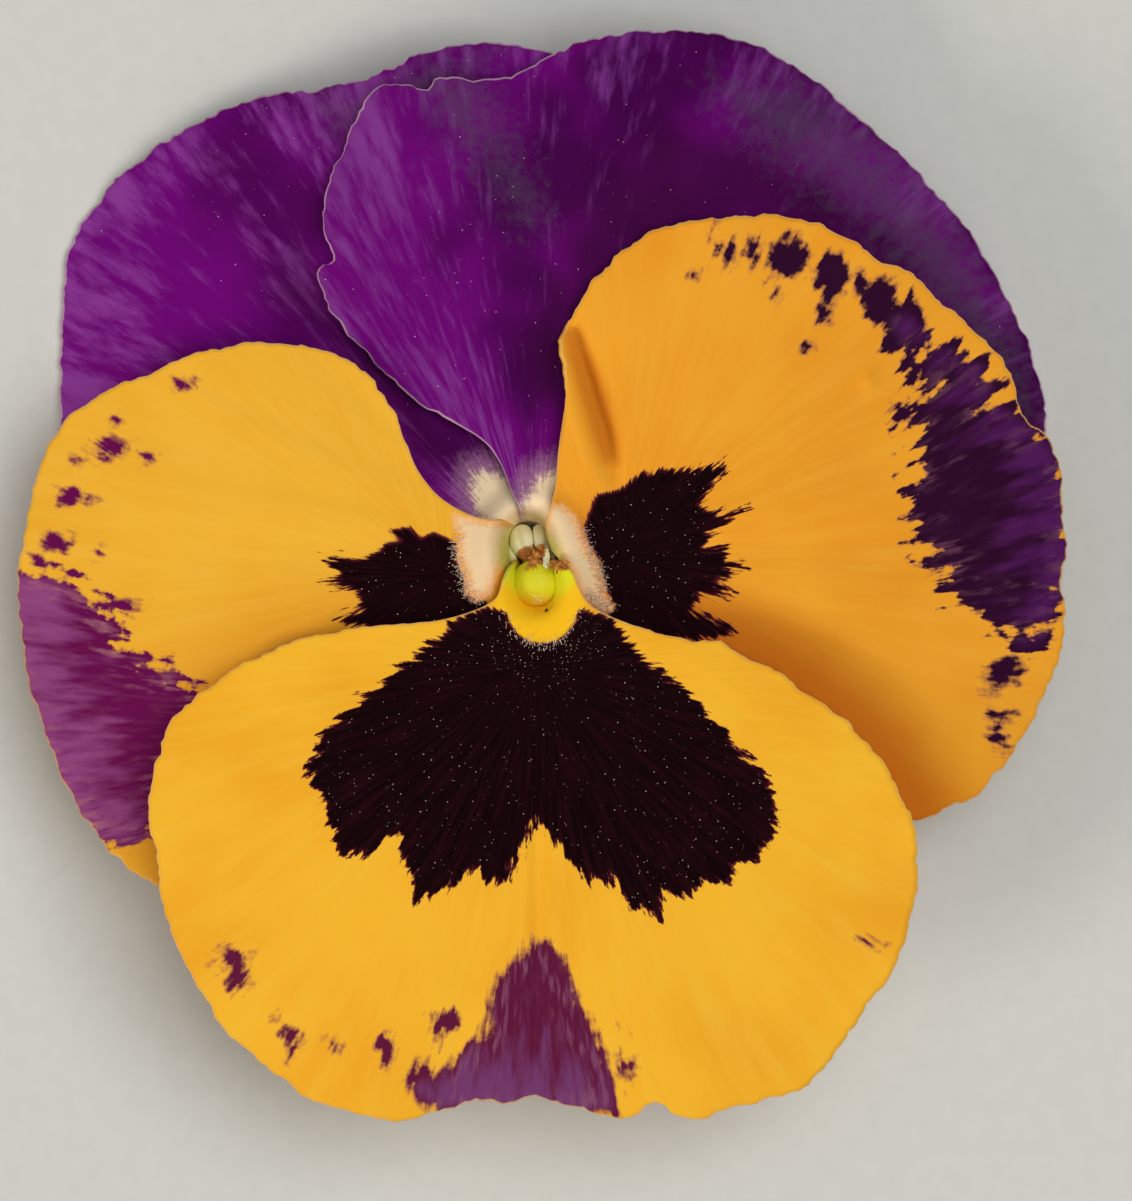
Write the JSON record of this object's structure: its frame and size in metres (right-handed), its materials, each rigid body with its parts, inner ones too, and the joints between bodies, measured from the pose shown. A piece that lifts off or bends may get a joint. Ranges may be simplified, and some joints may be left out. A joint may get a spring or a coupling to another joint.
{
  "type": "pansy flower",
  "caption": "Garden pansy bloom picked with a short stem, lying face up: purple upper petals and yellow blotched lower ones.",
  "frame": {"origin": "middle of the bloom seen from the front, on the surface that it lies on", "axes": "+X to the right and +Y to the top of the flower as it faces the viewer, +Z out of its face"},
  "size_m": [0.0578, 0.06, 0.013],
  "materials": {
    "yellow_petal": "matt, with a faint velvety sheen",
    "purple_petal": "matt velvet",
    "green_tissue": "satin",
    "anther": "matt",
    "stigma": "moist satin"
  },
  "bodies": {
    "root": {"petal_lower": "yellow_petal", "petal_side_left": "yellow_petal", "petal_side_right": "yellow_petal", "petal_upper_right": "purple_petal", "petal_upper_left": "purple_petal", "sepal_1": "green_tissue", "sepal_2": "green_tissue", "sepal_3": "green_tissue", "sepal_4": "green_tissue", "sepal_5": "green_tissue", "stamen_1": "anther", "stamen_2": "anther", "stamen_3": "anther", "stamen_4": "anther", "stamen_5": "anther", "pistil": "stigma", "stem": "green_tissue"}
  },
  "joints": []
}
